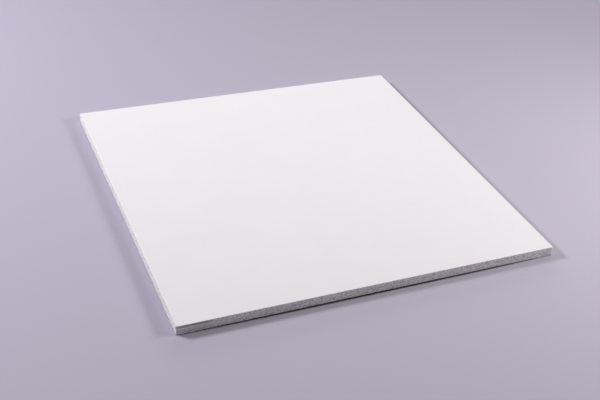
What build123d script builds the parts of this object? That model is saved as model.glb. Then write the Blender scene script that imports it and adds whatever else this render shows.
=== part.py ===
from build123d import *
import os

# Square-edged acoustic ceiling panel: one felted mineral-fibre board, painted white on its face.
# Millimetres. +Z points out of the white face, and the origin is the middle of the back face.

# The bay of the ceiling grid that the panel is laid into, from runner centre to runner centre
bay_length = 609.6
bay_width = 609.6

# Room left on each side between the panel's edge and the middle of the grid's runner
lay_in_gap = 3.175

# The board itself
board_thickness = 15.9

# Upright corners, which wear round in handling
corner_radius = 2.0

# Arris under the paint film of the white face, kept nearly sharp by the film
face_arris_radius = 0.5

# Arris round the back, where the bare board crumbles a little
back_arris_radius = 0.9

# The panel is cut smaller than its bay by the gap on both sides
panel_length = bay_length - 2 * lay_in_gap
panel_width = bay_width - 2 * lay_in_gap

os.makedirs("parts", exist_ok=True)

# The panel: a sheet cut to size, its corners eased first and then its two arrises
with BuildPart() as ceiling_panel:
    with BuildSketch(Plane.XY):
        RectangleRounded(panel_length, panel_width, corner_radius)
    extrude(amount=board_thickness)

    face_outline = ceiling_panel.faces().sort_by(Axis.Z)[-1].edges()
    fillet(face_outline, radius=face_arris_radius)

    back_outline = ceiling_panel.faces().sort_by(Axis.Z)[0].edges()
    fillet(back_outline, radius=back_arris_radius)

ceiling_panel.part.label = "ceiling_panel"
export_step(ceiling_panel.part, "parts/ceiling_panel.step")
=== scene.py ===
import math

import bpy
import numpy as np
from mathutils import Matrix, Vector


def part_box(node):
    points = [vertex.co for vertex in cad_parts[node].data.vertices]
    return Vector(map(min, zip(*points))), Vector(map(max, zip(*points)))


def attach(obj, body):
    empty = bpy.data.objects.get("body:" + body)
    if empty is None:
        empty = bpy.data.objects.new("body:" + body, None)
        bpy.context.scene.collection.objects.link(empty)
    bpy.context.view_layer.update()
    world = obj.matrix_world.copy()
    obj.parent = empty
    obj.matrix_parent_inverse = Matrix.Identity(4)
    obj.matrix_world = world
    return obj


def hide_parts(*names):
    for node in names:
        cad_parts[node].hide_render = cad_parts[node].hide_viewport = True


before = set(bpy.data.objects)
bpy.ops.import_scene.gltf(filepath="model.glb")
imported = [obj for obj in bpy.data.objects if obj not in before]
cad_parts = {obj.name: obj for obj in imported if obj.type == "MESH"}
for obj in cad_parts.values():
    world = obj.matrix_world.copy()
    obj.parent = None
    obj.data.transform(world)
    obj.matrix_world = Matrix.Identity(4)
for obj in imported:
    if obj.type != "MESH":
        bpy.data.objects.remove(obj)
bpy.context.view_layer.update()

MM = 0.001

# Sizes of the panel, from its box and from its drawing
panel_low, panel_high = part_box("ceiling_panel")
HALF_LENGTH = panel_high.x
HALF_WIDTH = panel_high.y
HALF_SIZE = np.array([HALF_LENGTH, HALF_WIDTH])
THICKNESS = panel_high.z
CORNER_RADIUS = 2.0 * MM
FACE_ARRIS = 0.5 * MM
BACK_ARRIS = 0.9 * MM

# Steps of the mesh round one side: two half corners and the straight between them.
# The steps of a side halve once for each ring of HALVING_INSETS, down to the middle's grid.
ARC_STEPS = 4
STRAIGHT_STEPS = 664
EDGE_ROWS = 17
ARRIS_ROWS = 3
HALVING_INSETS = [4 * MM, 7 * MM, 13 * MM, 25 * MM, 42 * MM]
SIDE_STEPS = 2 * ARC_STEPS + STRAIGHT_STEPS
GRID_STEPS = SIDE_STEPS // 2 ** len(HALVING_INSETS)
RIM_INSETS = [1.3 * MM, 2.4 * MM]
TRUE_OFFSET_LIMIT = 1.0 * MM

# The finish map: the face and the back are squares, and each cut edge is a long strip
MAP_NAME = "OFBake"
STRIP_HEIGHT = 0.05
STRIP_PITCH = 0.058
FACE_MAP = (0.72, 0.005, 0.265)
BACK_MAP = (0.26, 0.735, 0.265)

# The paper dips a little under the front edge, and the gap shows as a dark line.
# The dip is deepest near the edge's middle, ends about at its corners and reaches just in front of it.
DIP_DEPTH = 3.2 * MM
DIP_MIDDLE = -6 * MM
DIP_HALF_LENGTH = 296 * MM
DIP_OUTWARD = 2.6 * MM
DIP_INWARD = 60 * MM

# How far the paper reaches each way. It goes over into the plain backdrop between the next two
# distances from the panel's middle.
PAPER_REACH = 6.0
BACKDROP_START = 0.85
BACKDROP_END = 2.3

# A knock on the front edge beside the left corner, with a painted highlight along its ledge and painted
# shade in the recess above it
KNOCK_LENGTH = 62 * MM
KNOCK_DEPTH = 0.45 * MM
KNOCK_LEDGE = 10.4 * MM
KNOCK_LEDGE_WIDTH = 0.8 * MM
STREAK_START = 0.62
STREAK_DROP = 1.1 * MM
STREAK_CORE = 0.3 * MM
STREAK_REACH = 1.0 * MM
STREAK_RAGGED = 1.4 * MM

# Relief of the cut edges: grains, pits and a slow wander
GRAIN_SIZE = 2.4 * MM
GRAIN_SEED = 3.0
GRAIN_SOFTNESS = 0.35
RELIEF_SIZES = {
    "Grain Size": GRAIN_SIZE,
    "Grain Depth": 0.3 * MM,
    "Pit Spacing": 7.0 * MM,
    "Pit Depth": 0.5 * MM,
    "Wander Size": 30 * MM,
    "Wander Depth": 0.12 * MM,
    "Seed": GRAIN_SEED,
}

# Where the hollow round a grain and the slope of a pit begin and end, as shares of their spacing
HOLLOW_RANGE = (0.15, 0.85)
PIT_RANGE = (0.12, 0.34)

# Patterns of the face paint: clouds, mottle, patches of sheen, fibres under the paint and its tooth
CLOUD_SIZE = 70 * MM
MOTTLE_SIZE = 6 * MM
SHEEN_PATCH = 25 * MM
STRAND_LENGTH = 3.2 * MM
STRAND_SLIMNESS = 7
TOOTH_SIZE = 0.7 * MM
PAINT_RELIEF = 0.05 * MM

# Patterns of the cut edges: flakes of fibre, specks, and layers along the board
FLAKE_SIZE = 1.5 * MM
SPECK_SIZE = 1.0 * MM
LAYER_LENGTH = 9 * MM
LAYER_FLATNESS = 7
CRUMB_SIZE = 1.1 * MM
CRUMB_RELIEF = 0.35 * MM

# Patterns of the bare back
BACK_SPECK_SIZE = 1.8 * MM
BACK_FLAKE_SIZE = 2.6 * MM
BACK_CLOUD_SIZE = 60 * MM
BACK_RELIEF = 0.3 * MM

# The face paint laps over the arris by this much, more or less, with a ragged end
PAINT_LAP = 0.8 * MM
PAINT_LAP_SPREAD = 1.2 * MM
PAINT_LAP_SOFTNESS = 0.2 * MM
RAGGED_SIZE = 2.6 * MM

# The bare band along the foot of the cut edges, painted darker than the bare back as shade where they meet
# the floor
BARE_AND_SHADED_FOOT = 1.0 * MM

# Painted shade along the foot of the front edge, over the gap under it, full over this share of the dip's
# half length
CONTACT_SHADE_HEIGHT = 1.4 * MM
CONTACT_SHADE_RAGGED = 0.5 * MM
CONTACT_SHADE_FULL = 0.7

# One dark spot in the face paint
SPOT_PLACE = (142.3 * MM, -129.6 * MM, THICKNESS)
SPOT_RADIUS = 0.6 * MM

# Colours
FACE_WHITE = (0.812, 0.767, 0.833)
FACE_SHADE = (0.800, 0.755, 0.820)
FIBRE_LIGHT = (0.968, 0.929, 0.953)
FIBRE_DARK = (0.40, 0.383, 0.390)
# Bare fibre along the foot, darkened by painted shade
BARE_FIBRE_AND_SHADE = (0.30, 0.275, 0.255)
# Painted shade for the foot of the front edge, over the gap
CONTACT_SHADE_DARK = (0.035, 0.030, 0.034)
# Painted highlight for the knock's ledge
LEDGE_HIGHLIGHT = (0.97, 0.94, 0.95)
BACK_LIGHT = (0.60, 0.57, 0.51)
BACK_DARK = (0.42, 0.39, 0.34)
SPOT_DARK = (0.30, 0.26, 0.23)
FLOOR_LILAC = (0.488, 0.449, 0.566)
BACKDROP_LILAC = (0.530, 0.488, 0.596)

# Camera, solved from the panel's corners and sides in the photo
LENS = 59.538
SENSOR = 36.0
CAMERA_PLACE = Vector((-0.58741, -1.26883, 0.89977))
CAMERA_TURN = math.radians(25.046)
CAMERA_DIP = math.radians(33.704)
CAMERA_ROLL = math.radians(4.734)

# Soft lamps: angle round the panel and above the floor in degrees, distance, width and depth in
# metres, and power in watts
MAIN_LAMP = (151, 36, 2.5, 0.75, 0.35, 48.5)
BACK_STRIP = (72, 17, 4.0, 2.6, 0.9, 46.5)
FILL_LAMPS = {
    "near_right_fill": (-22, 33, 1.3, 0.3, 0.3, 6.2),
    "right_fill": (-32, 33, 2.4, 0.4, 0.4, 10.0),
    "back_right_fill": (31, 27, 1.97, 0.4, 0.4, 1.8),
    "back_fill": (63, 32.5, 1.86, 0.4, 0.4, 0.8),
    "top_left_fill": (172, 65, 1.66, 0.5, 0.5, 1.8),
    "top_fill": (270, 75, 1.6, 0.4, 0.4, 1.2),
}
MAIN_TINT = (1.0, 1.0, 1.0)
FILL_TINT = (1.0, 1.0, 0.935)
AIR_LIGHT = 0.035


def add(tree, kind, inputs=None, **settings):
    """Adds a node, gives it its settings, and fills or links its inputs by name or number."""
    node = tree.nodes.new(kind)
    for name, value in settings.items():
        setattr(node, name, value)
    for name, value in (inputs or {}).items():
        if isinstance(value, bpy.types.NodeSocket):
            tree.links.new(value, node.inputs[name])
        else:
            node.inputs[name].default_value = value
    return node


def math_node(tree, operation, first, second=0.0, clamp=False):
    """One sum on two numbers or sockets."""
    node = add(tree, "ShaderNodeMath", {0: first, 1: second}, operation=operation, use_clamp=clamp)
    return node.outputs[0]


def ramp_between(tree, value, low, high, start=0.0, end=1.0):
    """A value that goes smoothly from start to end as another goes from low to high."""
    limits = {"Value": value, "From Min": low, "From Max": high, "To Min": start, "To Max": end}
    return add(tree, "ShaderNodeMapRange", limits, interpolation_type="SMOOTHSTEP").outputs["Result"]


def noise(tree, place, size, detail=2.0, roughness=0.5, seed=0.0):
    """Noise whose patches are about as wide as the given size."""
    inputs = {"Vector": place, "W": seed, "Scale": 1 / size, "Detail": detail, "Roughness": roughness}
    return add(tree, "ShaderNodeTexNoise", inputs, noise_dimensions="4D").outputs[0]


def flakes(tree, place, size):
    """One number for each flake, the same all over it."""
    cells = add(tree, "ShaderNodeTexVoronoi", {"Vector": place, "Scale": 1 / size}).outputs["Color"]
    return add(tree, "ShaderNodeSeparateColor", {0: cells}).outputs[0]


def blend(tree, amount, first, second):
    """A colour between two others, each a socket or three numbers."""
    ends = [end if isinstance(end, bpy.types.NodeSocket) else (*end, 1) for end in (first, second)]
    return add(tree, "ShaderNodeMix", {0: amount, 6: ends[0], 7: ends[1]}, data_type="RGBA").outputs[2]


def arc(centre, radius, start, end):
    """Points of a short arc, without its last one."""
    angles = start + (end - start) * np.arange(ARC_STEPS) / ARC_STEPS
    return centre + radius * np.stack([np.cos(angles), np.sin(angles)], 1)


def outline_ring(inset):
    """One closed loop of points round the panel, moved in from its edge."""
    offset = min(inset, TRUE_OFFSET_LIMIT)
    radius = CORNER_RADIUS - offset
    quarter = math.pi / 4
    signs = [(1, -1), (1, 1), (-1, 1), (-1, -1)]
    parts = []
    for number, sign in enumerate(signs):
        here = (HALF_SIZE - CORNER_RADIUS) * sign
        there = (HALF_SIZE - CORNER_RADIUS) * signs[(number + 1) % 4]
        outward = number * 2 * quarter
        reach = radius * np.array([math.cos(outward), math.sin(outward)])
        share = np.arange(STRAIGHT_STEPS)[:, None] / STRAIGHT_STEPS
        parts.append(arc(here, radius, outward - quarter, outward))
        parts.append(here + reach + (there - here) * share)
        parts.append(arc(there, radius, outward, outward + quarter))
    shrink = (HALF_SIZE - inset) / (HALF_SIZE - offset)
    return np.concatenate(parts) * shrink


def section_rows():
    """The board's section from the face over the edge to the back, as pairs of inset and height."""
    turns = np.arange(ARRIS_ROWS + 1) / ARRIS_ROWS * math.pi / 2
    rows = [(inset, THICKNESS) for inset in reversed(RIM_INSETS)]
    for turn in turns:
        rows.append((FACE_ARRIS * (1 - math.sin(turn)), THICKNESS - FACE_ARRIS * (1 - math.cos(turn))))
    edge_height = THICKNESS - FACE_ARRIS - BACK_ARRIS
    for number in range(1, EDGE_ROWS):
        rows.append((0.0, THICKNESS - FACE_ARRIS - edge_height * number / EDGE_ROWS))
    for turn in turns:
        rows.append((BACK_ARRIS * (1 - math.cos(turn)), BACK_ARRIS * (1 - math.sin(turn))))
    rows += [(inset, 0.0) for inset in RIM_INSETS]
    return rows


def from_edge(points):
    """How far each point is from the nearest side of the panel, seen from above."""
    return np.min(HALF_SIZE - np.abs(points[:, :2]), axis=1)


def knock_depth(points):
    """How far the knock beside the front left corner pushes the upper part of the edge in."""
    from_corner = points[:, 0] + HALF_LENGTH
    length_fade = np.clip(1 - from_corner / KNOCK_LENGTH, 0, 1) ** 0.5
    above_ledge = np.clip((points[:, 2] - KNOCK_LEDGE) / KNOCK_LEDGE_WIDTH, 0, 1)
    below_face = np.clip((THICKNESS - points[:, 2]) / (THICKNESS - KNOCK_LEDGE), 0, 1) ** 0.6
    on_front = points[:, 1] < -HALF_WIDTH + RIM_INSETS[0]
    return KNOCK_DEPTH * length_fade * above_ledge * below_face * on_front


def edge_weight(points):
    """1 on the cut edges, fading to 0 over the arrises."""
    from_face = np.clip((THICKNESS - points[:, 2]) / (3 * FACE_ARRIS), 0, 1)
    from_back = np.clip(points[:, 2] / BACK_ARRIS, 0, 1) * 0.6 + 0.4
    on_edge = np.clip(1 - from_edge(points) / RIM_INSETS[0], 0, 1)
    return (on_edge * from_face * from_back).astype(np.float32)


def strip_faces(upper, lower):
    """Quads between two rings with the same number of points."""
    return np.stack([upper, lower, np.roll(lower, -1), np.roll(upper, -1)], 1)


def halving_faces(fine, coarse):
    """Triangles between a ring and one inside it with half as many points."""
    first, middle, last = fine[0::2], fine[1::2], np.roll(fine, -2)[0::2]
    after = np.roll(coarse, -1)
    corners = [(coarse, first, middle), (coarse, middle, after), (after, middle, last)]
    return np.concatenate([np.stack(triple, 1) for triple in corners])


class Carrier:
    """Collects the rings and faces of the board's mesh, and where each face lies on the finish map."""

    def __init__(self):
        self.points = []
        self.faces = []
        self.map_places = []
        self.count = 0

    def put(self, flat, height):
        """Adds points at one height and returns their numbers."""
        self.points.append(np.column_stack([flat, np.full(len(flat), height)]))
        self.count += len(flat)
        return np.arange(self.count - len(flat), self.count)

    def add_strip(self, upper, lower, start, end):
        """Adds a row of edge faces, which fills its share of the four strips of the finish map."""
        self.faces += strip_faces(upper, lower).tolist()
        side, step = np.divmod(np.arange(4 * SIDE_STEPS), SIDE_STEPS)
        left, right = step / SIDE_STEPS, (step + 1) / SIDE_STEPS
        top = side * STRIP_PITCH + STRIP_HEIGHT
        high, low = top - start * STRIP_HEIGHT, top - end * STRIP_HEIGHT
        corners = [(left, high), (left, low), (right, low), (right, high)]
        self.map_places.append(np.stack([np.stack(corner, 1) for corner in corners], 1).reshape(-1, 2))

    def add_flat(self, faces, up):
        """Adds faces of the white face or, turned over, of the back, mapped as seen from above."""
        faces = faces if up else faces[:, ::-1]
        self.faces += faces.tolist()
        size, left, low = FACE_MAP if up else BACK_MAP
        flat = np.concatenate(self.points)[faces.reshape(-1), :2]
        self.map_places.append((flat / HALF_SIZE + 1) / 2 * size + [left, low])

    def close_middle(self, ring, height, up):
        """Fills the innermost ring with a plain grid."""
        outline = self.points[-1][:, :2]
        steps = GRID_STEPS
        numbers = np.arange(steps + 1)
        grid = np.zeros((steps + 1, steps + 1), int)
        grid[:, 0] = ring[(3 * steps + numbers) % (4 * steps)]
        grid[steps, :] = ring[numbers]
        grid[:, steps] = ring[2 * steps - numbers]
        grid[0, :] = ring[3 * steps - numbers]
        front = outline[(3 * steps + numbers) % (4 * steps), 0]
        right = outline[numbers, 1]
        inner = np.array([(x, y) for x in front[1:-1] for y in right[1:-1]])
        grid[1:-1, 1:-1] = self.put(inner, height).reshape(steps - 1, steps - 1)
        cells = np.stack([grid[:-1, :-1], grid[1:, :-1], grid[1:, 1:], grid[:-1, 1:]], -1)
        self.add_flat(cells.reshape(-1, 4), up)

    def sheet(self, rim, height, up):
        """Closes the face or the back from its rim inwards."""
        ring = rim
        for number, inset in enumerate(HALVING_INSETS):
            coarse = self.put(outline_ring(inset)[:: 2 ** (number + 1)], height)
            self.add_flat(halving_faces(ring, coarse), up)
            ring = coarse
        self.close_middle(ring, height, up)


def section_shares(rows):
    """How far each row of the section is along it, from 0 at the face to 1 at the back."""
    steps = np.linalg.norm(np.diff(np.array(rows), axis=0), axis=1)
    return np.concatenate([[0.0], np.cumsum(steps)]) / steps.sum()


def board_mesh():
    """The board as one closed mesh, fine along its cut edges and coarse in the middle of its faces."""
    carrier = Carrier()
    rows = section_rows()
    shares = section_shares(rows)
    rings = [carrier.put(outline_ring(inset), height) for inset, height in rows]
    for number in range(len(rows) - 1):
        carrier.add_strip(rings[number], rings[number + 1], shares[number], shares[number + 1])
    carrier.sheet(rings[0], THICKNESS, True)
    carrier.sheet(rings[-1], 0.0, False)
    points = np.concatenate(carrier.points)
    weight = edge_weight(points)
    points[:, 1] += knock_depth(points)
    mesh = bpy.data.meshes.new("panel_board")
    mesh.from_pydata(points.tolist(), [], carrier.faces)
    mesh.attributes.new("edge_weight", "FLOAT", "POINT").data.foreach_set("value", weight)
    places = np.concatenate(carrier.map_places).astype(np.float32)
    mesh.uv_layers.new(name=MAP_NAME).data.foreach_set("uv", places.ravel())
    mesh.shade_smooth()
    return mesh


def grain_cells(tree, place, scale, seed):
    """Distance to the nearest grain's middle, the same in the relief and in the finish."""
    inputs = {"Vector": place, "Scale": scale, "W": seed, "Smoothness": GRAIN_SOFTNESS}
    cells = add(tree, "ShaderNodeTexVoronoi", inputs, voronoi_dimensions="4D", feature="SMOOTH_F1")
    return cells.outputs["Distance"]


def relief_depth(tree, given, place):
    """How deep the grains, the pits and the wander go into the cut edges."""
    spacings = ("Grain Size", "Pit Spacing", "Wander Size")
    grain_scale, pit_scale, wander_scale = [math_node(tree, "DIVIDE", 1.0, given[name]) for name in spacings]
    grain = grain_cells(tree, place, grain_scale, given["Seed"])
    pits = add(tree, "ShaderNodeTexVoronoi", {"Vector": place, "Scale": pit_scale, "W": given["Seed"]},
               voronoi_dimensions="4D").outputs["Distance"]
    wander = add(tree, "ShaderNodeTexNoise", {"Vector": place, "Scale": wander_scale, "W": given["Seed"]},
                 noise_dimensions="4D").outputs[0]
    hollow = ramp_between(tree, grain, *HOLLOW_RANGE)
    pit = ramp_between(tree, pits, *PIT_RANGE, 1.0, 0.0)
    depth = math_node(tree, "MULTIPLY", hollow, given["Grain Depth"])
    depth = math_node(tree, "ADD", depth, math_node(tree, "MULTIPLY", pit, given["Pit Depth"]))
    return math_node(tree, "ADD", depth, math_node(tree, "MULTIPLY", wander, given["Wander Depth"]))


def give_finishes(tree, geometry, normal, face, edge, back):
    """Makes the board whole and sets its finishes by the way that each part of it faces."""
    height = add(tree, "ShaderNodeSeparateXYZ", {0: normal}).outputs["Z"]
    on_face = add(tree, "FunctionNodeCompare", {0: height, 1: 0.9}, operation="GREATER_THAN").outputs[0]
    on_back = add(tree, "FunctionNodeCompare", {0: height, 1: -0.9}, operation="LESS_THAN").outputs[0]
    whole = add(tree, "GeometryNodeRealizeInstances", {"Geometry": geometry}).outputs[0]
    whole = add(tree, "GeometryNodeSetMaterial", {"Geometry": whole, "Material": edge}).outputs[0]
    for chosen, material in ((on_back, back), (on_face, face)):
        inputs = {"Geometry": whole, "Selection": chosen, "Material": material}
        whole = add(tree, "GeometryNodeSetMaterial", inputs).outputs[0]
    return whole


def relief_tree(face, edge, back):
    """Geometry nodes that carve the grain of the cut edges into the board and give it its finishes."""
    tree = bpy.data.node_groups.new("cut_edge_grain", "GeometryNodeTree")
    tree.interface.new_socket("Geometry", in_out="OUTPUT", socket_type="NodeSocketGeometry")
    tree.interface.new_socket("Geometry", in_out="INPUT", socket_type="NodeSocketGeometry")
    for name in RELIEF_SIZES:
        tree.interface.new_socket(name, in_out="INPUT", socket_type="NodeSocketFloat")
    given = add(tree, "NodeGroupInput").outputs
    place = add(tree, "GeometryNodeInputPosition").outputs[0]
    normal = add(tree, "GeometryNodeInputNormal").outputs[0]
    weight = add(tree, "GeometryNodeInputNamedAttribute", {"Name": "edge_weight"}, data_type="FLOAT")
    depth = math_node(tree, "MULTIPLY", relief_depth(tree, given, place), weight.outputs[0])
    inward = math_node(tree, "MULTIPLY", depth, -1.0)
    move = add(tree, "ShaderNodeVectorMath", {0: normal, "Scale": inward}, operation="SCALE").outputs[0]
    carved = add(tree, "GeometryNodeSetPosition", {"Geometry": given["Geometry"], "Offset": move})
    whole = give_finishes(tree, carved.outputs[0], normal, face, edge, back)
    add(tree, "NodeGroupOutput", {"Geometry": whole})
    return tree


def set_inputs(modifier, values):
    """Fills a node tree's inputs by the identifiers of their sockets."""
    for socket in modifier.node_group.interface.items_tree:
        if socket.in_out == "INPUT" and socket.name in values:
            modifier[socket.identifier] = values[socket.name]


def made_plain(carrier, name):
    """The result of a piece's modifiers as a plain mesh object."""
    evaluated = carrier.evaluated_get(bpy.context.evaluated_depsgraph_get())
    mesh = bpy.data.meshes.new_from_object(evaluated)
    bpy.data.objects.remove(carrier)
    mesh.name = name
    plain = bpy.data.objects.new(name, mesh)
    bpy.context.scene.collection.objects.link(plain)
    return plain


def build_panel():
    """The panel: the board's mesh with the grain carved into its cut edges."""
    carrier = bpy.data.objects.new("board_carrier", board_mesh())
    bpy.context.scene.collection.objects.link(carrier)
    modifier = carrier.modifiers.new("cut_edge_grain", "NODES")
    modifier.node_group = relief_tree(face_paint(), edge_paint(), raw_back())
    set_inputs(modifier, RELIEF_SIZES)
    return made_plain(carrier, "panel")


def new_material(name):
    """An empty material with its shader and output."""
    material = bpy.data.materials.new(name)
    material.use_nodes = True
    tree = material.node_tree
    tree.nodes.clear()
    shader = add(tree, "ShaderNodeBsdfPrincipled")
    add(tree, "ShaderNodeOutputMaterial", {"Surface": shader.outputs[0]})
    return material, tree, shader


def put_bump(tree, shader, height, distance, strength):
    """Turns a height into the shader's normal."""
    bump = add(tree, "ShaderNodeBump", {"Strength": strength, "Distance": distance, "Height": height})
    tree.links.new(bump.outputs[0], shader.inputs["Normal"])


def fleece(tree, place):
    """Fine crossed fibres under the face paint."""
    layers = []
    for turn, seed in ((0.4, 1.0), (1.5, 2.0), (2.6, 3.0)):
        inputs = {"Vector": place, "Rotation": (0, 0, turn), "Scale": (1, STRAND_SLIMNESS, 1)}
        turned = add(tree, "ShaderNodeMapping", inputs).outputs[0]
        strands = noise(tree, turned, STRAND_LENGTH, 2.0, 0.5, seed)
        layers.append(ramp_between(tree, strands, 0.52, 0.68))
    first = math_node(tree, "MAXIMUM", layers[0], layers[1])
    return math_node(tree, "MAXIMUM", first, layers[2])


def face_colour(tree, place):
    """White paint with faint clouds and one dark spot."""
    clouds = math_node(tree, "MULTIPLY", noise(tree, place, CLOUD_SIZE, 4.0, 0.55), 0.7)
    mottle = math_node(tree, "MULTIPLY", noise(tree, place, MOTTLE_SIZE, 3.0, 0.5), 0.3)
    amount = ramp_between(tree, math_node(tree, "ADD", clouds, mottle), 0.35, 0.65)
    paint = blend(tree, amount, FACE_WHITE, FACE_SHADE)
    off = add(tree, "ShaderNodeVectorMath", {0: place, 1: SPOT_PLACE}, operation="DISTANCE")
    spot = ramp_between(tree, off.outputs["Value"], 0.4 * SPOT_RADIUS, SPOT_RADIUS, 0.8, 0.0)
    return blend(tree, spot, paint, SPOT_DARK)


def face_paint():
    """Smooth white paint with a soft sheen."""
    material, tree, shader = new_material("white_face_paint")
    place = add(tree, "ShaderNodeTexCoord").outputs["Object"]
    tree.links.new(face_colour(tree, place), shader.inputs["Base Color"])
    roughness = ramp_between(tree, noise(tree, place, SHEEN_PATCH, 3.0), 0.3, 0.7, 0.5, 0.56)
    tree.links.new(roughness, shader.inputs["Roughness"])
    shader.inputs["Specular IOR Level"].default_value = 0.5
    shader.inputs["Sheen Weight"].default_value = 0.8
    shader.inputs["Sheen Roughness"].default_value = 0.5
    tooth = noise(tree, place, TOOTH_SIZE, 3.0)
    height = math_node(tree, "ADD", math_node(tree, "MULTIPLY", fleece(tree, place), 0.6), tooth)
    put_bump(tree, shader, height, PAINT_RELIEF, 0.5)
    return material


def fibre_colour(tree, place):
    """Felted fibre: light flakes, darker hollows between the grains that are partly bare fibre and partly
    painted shade, and faint layers along the board.
    """
    grains = grain_cells(tree, place, 1 / GRAIN_SIZE, GRAIN_SEED)
    # Lighter grain tops and darker hollows between them: partly the fibre's own tone, partly painted shade
    hollow = ramp_between(tree, grains, 0.25, 0.75, 0.26, -0.2)
    own = math_node(tree, "MULTIPLY", flakes(tree, place, FLAKE_SIZE), 0.55)
    specks = noise(tree, place, SPECK_SIZE, 3.0, 0.6)
    flat = add(tree, "ShaderNodeMapping", {"Vector": place, "Scale": (1, 1, LAYER_FLATNESS)}).outputs[0]
    layers = noise(tree, flat, LAYER_LENGTH, 2.0, 0.5, 5.0)
    amount = math_node(tree, "ADD", own, hollow)
    amount = math_node(tree, "ADD", amount, ramp_between(tree, specks, 0.3, 0.7, 0.0, 0.58))
    amount = math_node(tree, "ADD", amount, ramp_between(tree, layers, 0.3, 0.7, 0.11, 0.45), clamp=True)
    return blend(tree, amount, FIBRE_DARK, FIBRE_LIGHT)


def on_front_edge(tree, parts):
    """One on the front edge and none elsewhere."""
    return ramp_between(tree, parts["Y"], -HALF_WIDTH + 1.0 * MM, -HALF_WIDTH + 2.0 * MM, 1.0, 0.0)


def contact_shade_amount(tree, place):
    """How much painted shade darkens the foot of the front edge, over the gap: most in the middle, none at
    the corners.
    """
    parts = add(tree, "ShaderNodeSeparateXYZ", {0: place}).outputs
    off_middle = math_node(tree, "ABSOLUTE", math_node(tree, "SUBTRACT", parts["X"], DIP_MIDDLE))
    along = ramp_between(tree, off_middle, CONTACT_SHADE_FULL * DIP_HALF_LENGTH, DIP_HALF_LENGTH, 1.0, 0.0)
    ragged = math_node(tree, "MULTIPLY", noise(tree, place, 4 * MM, 3.0), CONTACT_SHADE_RAGGED)
    height = math_node(tree, "ADD", parts["Z"], ragged)
    low = ramp_between(tree, height, 0.8 * CONTACT_SHADE_HEIGHT, 1.2 * CONTACT_SHADE_HEIGHT, 1.0, 0.0)
    return math_node(tree, "MULTIPLY", math_node(tree, "MULTIPLY", low, along), on_front_edge(tree, parts))


def ledge_light_and_shade(tree, place):
    """Where a painted highlight runs along the knock's ledge, and the painted shade in the band above it."""
    parts = add(tree, "ShaderNodeSeparateXYZ", {0: place}).outputs
    start = -HALF_LENGTH + STREAK_START * KNOCK_LENGTH
    near = ramp_between(tree, parts["X"], start, -HALF_LENGTH + KNOCK_LENGTH, 1.0, 0.0)
    near = math_node(tree, "MULTIPLY", near, on_front_edge(tree, parts))
    ragged = math_node(tree, "MULTIPLY", noise(tree, place, 5 * MM, 3.0), STREAK_RAGGED)
    height = math_node(tree, "SUBTRACT", parts["Z"], ragged)
    off = math_node(tree, "ABSOLUTE", math_node(tree, "SUBTRACT", height, KNOCK_LEDGE - STREAK_DROP))
    streak = ramp_between(tree, off, STREAK_CORE, STREAK_REACH, 1.0, 0.0)
    band = ramp_between(tree, height, KNOCK_LEDGE - 0.2 * MM, KNOCK_LEDGE + 1.0 * MM, 0.3, 0.8)
    return math_node(tree, "MULTIPLY", streak, near), math_node(tree, "MULTIPLY", band, near)


def lap_amount(tree, height, wobble):
    """One where the face paint laps raggedly over the upper arris, and none below it."""
    below = math_node(tree, "SUBTRACT", THICKNESS, height)
    ragged = math_node(tree, "MULTIPLY", math_node(tree, "SUBTRACT", wobble, 0.5), PAINT_LAP_SPREAD)
    start, end = PAINT_LAP - PAINT_LAP_SOFTNESS, PAINT_LAP + PAINT_LAP_SOFTNESS
    return ramp_between(tree, math_node(tree, "ADD", below, ragged), start, end, 1.0, 0.0)


def edge_colour(tree, place):
    """The fibre of the cut edge with the knock's painted highlight and shade, its bare foot with painted
    shade, painted shade along the foot of the front edge, and the lap of the face paint.
    """
    height = add(tree, "ShaderNodeSeparateXYZ", {0: place}).outputs["Z"]
    wobble = noise(tree, place, RAGGED_SIZE, 3.0, 0.6, 8.0)
    streak, band = ledge_light_and_shade(tree, place)
    # Painted shade in the recess above the knock's ledge, then a painted highlight along the ledge
    colour = blend(tree, band, fibre_colour(tree, place), FIBRE_DARK)
    colour = blend(tree, streak, colour, LEDGE_HIGHLIGHT)
    # Bare fibre along the foot of the cut edges, painted darker as shade where they meet the floor
    foot = math_node(tree, "ADD", height, math_node(tree, "MULTIPLY", wobble, -2 * BARE_AND_SHADED_FOOT))
    colour = blend(tree, ramp_between(tree, foot, -BARE_AND_SHADED_FOOT, BARE_AND_SHADED_FOOT, 0.85, 0.0), colour, BARE_FIBRE_AND_SHADE)
    # Painted shade along the foot of the front edge, over the gap under it
    colour = blend(tree, contact_shade_amount(tree, place), colour, CONTACT_SHADE_DARK)
    return blend(tree, lap_amount(tree, height, wobble), colour, FACE_WHITE)


def edge_paint():
    """Thin off-white paint on the grainy cut edge."""
    material, tree, shader = new_material("painted_cut_edge")
    place = add(tree, "ShaderNodeTexCoord").outputs["Object"]
    tree.links.new(edge_colour(tree, place), shader.inputs["Base Color"])
    crumbs = noise(tree, place, CRUMB_SIZE, 4.0, 0.6)
    tree.links.new(ramp_between(tree, crumbs, 0.3, 0.7, 0.9, 1.0), shader.inputs["Roughness"])
    shader.inputs["Specular IOR Level"].default_value = 0.15
    put_bump(tree, shader, crumbs, CRUMB_RELIEF, 0.8)
    return material


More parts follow.
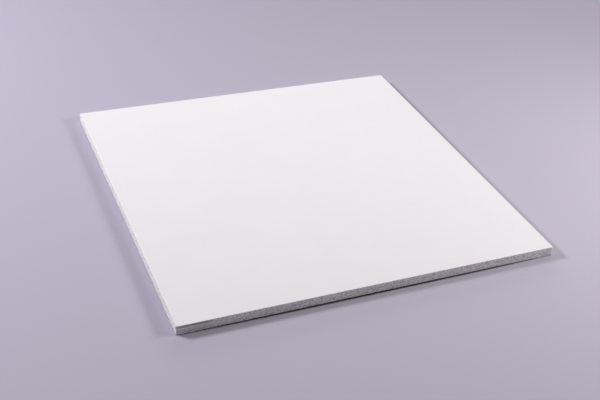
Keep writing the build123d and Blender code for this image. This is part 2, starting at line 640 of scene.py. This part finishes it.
def raw_back():
    """Bare felted fibre on the back."""
    material, tree, shader = new_material("bare_fibre_back")
    place = add(tree, "ShaderNodeTexCoord").outputs["Object"]
    specks = noise(tree, place, BACK_SPECK_SIZE, 4.0, 0.6)
    clouds = noise(tree, place, BACK_CLOUD_SIZE, 3.0)
    own = math_node(tree, "MULTIPLY", flakes(tree, place, BACK_FLAKE_SIZE), 0.3)
    amount = math_node(tree, "ADD", ramp_between(tree, specks, 0.3, 0.7, 0.0, 0.5), own)
    amount = math_node(tree, "ADD", amount, ramp_between(tree, clouds, 0.3, 0.7, 0.0, 0.2))
    tree.links.new(blend(tree, amount, BACK_DARK, BACK_LIGHT), shader.inputs["Base Color"])
    shader.inputs["Roughness"].default_value = 1.0
    shader.inputs["Specular IOR Level"].default_value = 0.1
    put_bump(tree, shader, specks, BACK_RELIEF, 0.8)
    return material


def paper_dip(x, y):
    """How deep the paper lies under and before the front edge."""
    along = np.clip(1 - np.abs((x - DIP_MIDDLE) / DIP_HALF_LENGTH) ** 2.2, 0, 1)
    inward = y + HALF_WIDTH
    across = np.clip(1 - np.where(inward < 0, -inward / DIP_OUTWARD, inward / DIP_INWARD), 0, 1)
    return DIP_DEPTH * along * across * across * (3 - 2 * across)


def show_backdrop(tree, shader):
    """Lets the camera see the far paper in the plain backdrop's colour, and adds no light to the panel."""
    place = add(tree, "ShaderNodeTexCoord").outputs["Object"]
    away = add(tree, "ShaderNodeVectorMath", {0: place}, operation="LENGTH").outputs["Value"]
    far = ramp_between(tree, away, BACKDROP_START, BACKDROP_END)
    seen = add(tree, "ShaderNodeLightPath").outputs["Is Camera Ray"]
    amount = math_node(tree, "MULTIPLY", far, seen)
    glow = add(tree, "ShaderNodeEmission", {"Color": (*BACKDROP_LILAC, 1), "Strength": 1.0})
    mixed = add(tree, "ShaderNodeMixShader", {0: amount, 1: shader.outputs[0], 2: glow.outputs[0]})
    tree.links.new(mixed.outputs[0], tree.nodes["Material Output"].inputs["Surface"])


def paper_finish():
    """Plain pale lilac paper."""
    material, tree, shader = new_material("studio_paper")
    shader.inputs["Base Color"].default_value = (*FLOOR_LILAC, 1)
    shader.inputs["Roughness"].default_value = 0.95
    shader.inputs["Specular IOR Level"].default_value = 0.0
    show_backdrop(tree, shader)
    return material


def paper_lines():
    """The grid lines of the paper each way: close together over the dip, and one far off on each side."""
    far = np.array([PAPER_REACH])
    over_length = DIP_MIDDLE + DIP_HALF_LENGTH * np.linspace(-1, 1, 81)
    outward = np.linspace(-DIP_OUTWARD, 0, 13)[:-1] - HALF_WIDTH
    inward = np.linspace(0, DIP_INWARD, 13) - HALF_WIDTH
    return np.concatenate([-far, over_length, far]), np.concatenate([-far, outward, inward, far])


def build_floor():
    """The sheet of paper under the panel."""
    x, y = np.meshgrid(*paper_lines(), indexing="ij")
    points = np.stack([x, y, -paper_dip(x, y)], -1).reshape(-1, 3)
    number = np.arange(len(points)).reshape(x.shape)
    cells = np.stack([number[:-1, :-1], number[1:, :-1], number[1:, 1:], number[:-1, 1:]], -1)
    mesh = bpy.data.meshes.new("floor")
    mesh.from_pydata(points.tolist(), [], cells.reshape(-1, 4).tolist())
    mesh.materials.append(paper_finish())
    floor = bpy.data.objects.new("floor", mesh)
    bpy.context.scene.collection.objects.link(floor)


def direction(side, height):
    """The way to a place at an angle round the panel and an angle above the floor."""
    level = math.cos(height)
    return Vector((level * math.cos(side), level * math.sin(side), math.sin(height)))


def add_softbox(name, tint, side, height, distance, width, depth, watts, in_sheen=False):
    """A soft lamp, turned to the panel's middle. The face's sheen shows it only if that is asked."""
    lamp = bpy.data.lights.new(name, "AREA")
    lamp.shape = "RECTANGLE"
    lamp.size = width
    lamp.size_y = depth
    lamp.energy = watts
    lamp.color = tint
    holder = bpy.data.objects.new(name, lamp)
    towards = direction(math.radians(side), math.radians(height))
    holder.location = towards * distance
    holder.visible_glossy = in_sheen
    holder.rotation_mode = "QUATERNION"
    holder.rotation_quaternion = towards.to_track_quat("Z", "Y")
    bpy.context.scene.collection.objects.link(holder)


def build_air():
    """Faint even light, seen by the camera as the plain backdrop."""
    world = bpy.data.worlds.new("studio_air")
    world.use_nodes = True
    tree = world.node_tree
    air = tree.nodes["Background"]
    air.inputs["Color"].default_value = (1.0, 1.0, 1.0, 1)
    air.inputs["Strength"].default_value = AIR_LIGHT
    backdrop = add(tree, "ShaderNodeBackground", {"Color": (*BACKDROP_LILAC, 1), "Strength": 1.0})
    seen = add(tree, "ShaderNodeLightPath").outputs["Is Camera Ray"]
    mixed = add(tree, "ShaderNodeMixShader", {0: seen, 1: air.outputs[0], 2: backdrop.outputs[0]})
    tree.links.new(mixed.outputs[0], tree.nodes["World Output"].inputs["Surface"])
    bpy.context.scene.world = world


def build_lights():
    """A main lamp behind on the left, a low strip behind that the face's sheen shows, and weaker fills."""
    add_softbox("back_left_lamp", MAIN_TINT, *MAIN_LAMP)
    add_softbox("back_strip", MAIN_TINT, *BACK_STRIP, in_sheen=True)
    for name, values in FILL_LAMPS.items():
        add_softbox(name, FILL_TINT, *values)
    build_air()


def build_camera():
    """The camera at the photo's viewing angle."""
    turn, dip, roll = CAMERA_TURN, CAMERA_DIP, CAMERA_ROLL
    forward = Vector((math.sin(turn) * math.cos(dip), math.cos(turn) * math.cos(dip), -math.sin(dip)))
    level_right = Vector((math.cos(turn), -math.sin(turn), 0))
    level_up = level_right.cross(forward)
    right = math.cos(roll) * level_right + math.sin(roll) * level_up
    up = math.cos(roll) * level_up - math.sin(roll) * level_right
    data = bpy.data.cameras.new("camera")
    data.sensor_fit = "HORIZONTAL"
    data.sensor_width = SENSOR
    data.lens = LENS
    camera = bpy.data.objects.new("camera", data)
    aim = Matrix([right, up, -forward]).transposed().to_4x4()
    camera.matrix_world = Matrix.Translation(CAMERA_PLACE) @ aim
    bpy.context.scene.collection.objects.link(camera)
    bpy.context.scene.camera = camera


build_camera()
build_floor()
build_lights()
panel = build_panel()
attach(panel, "root")
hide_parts("ceiling_panel")
bpy.context.scene.view_settings.view_transform = "Standard"
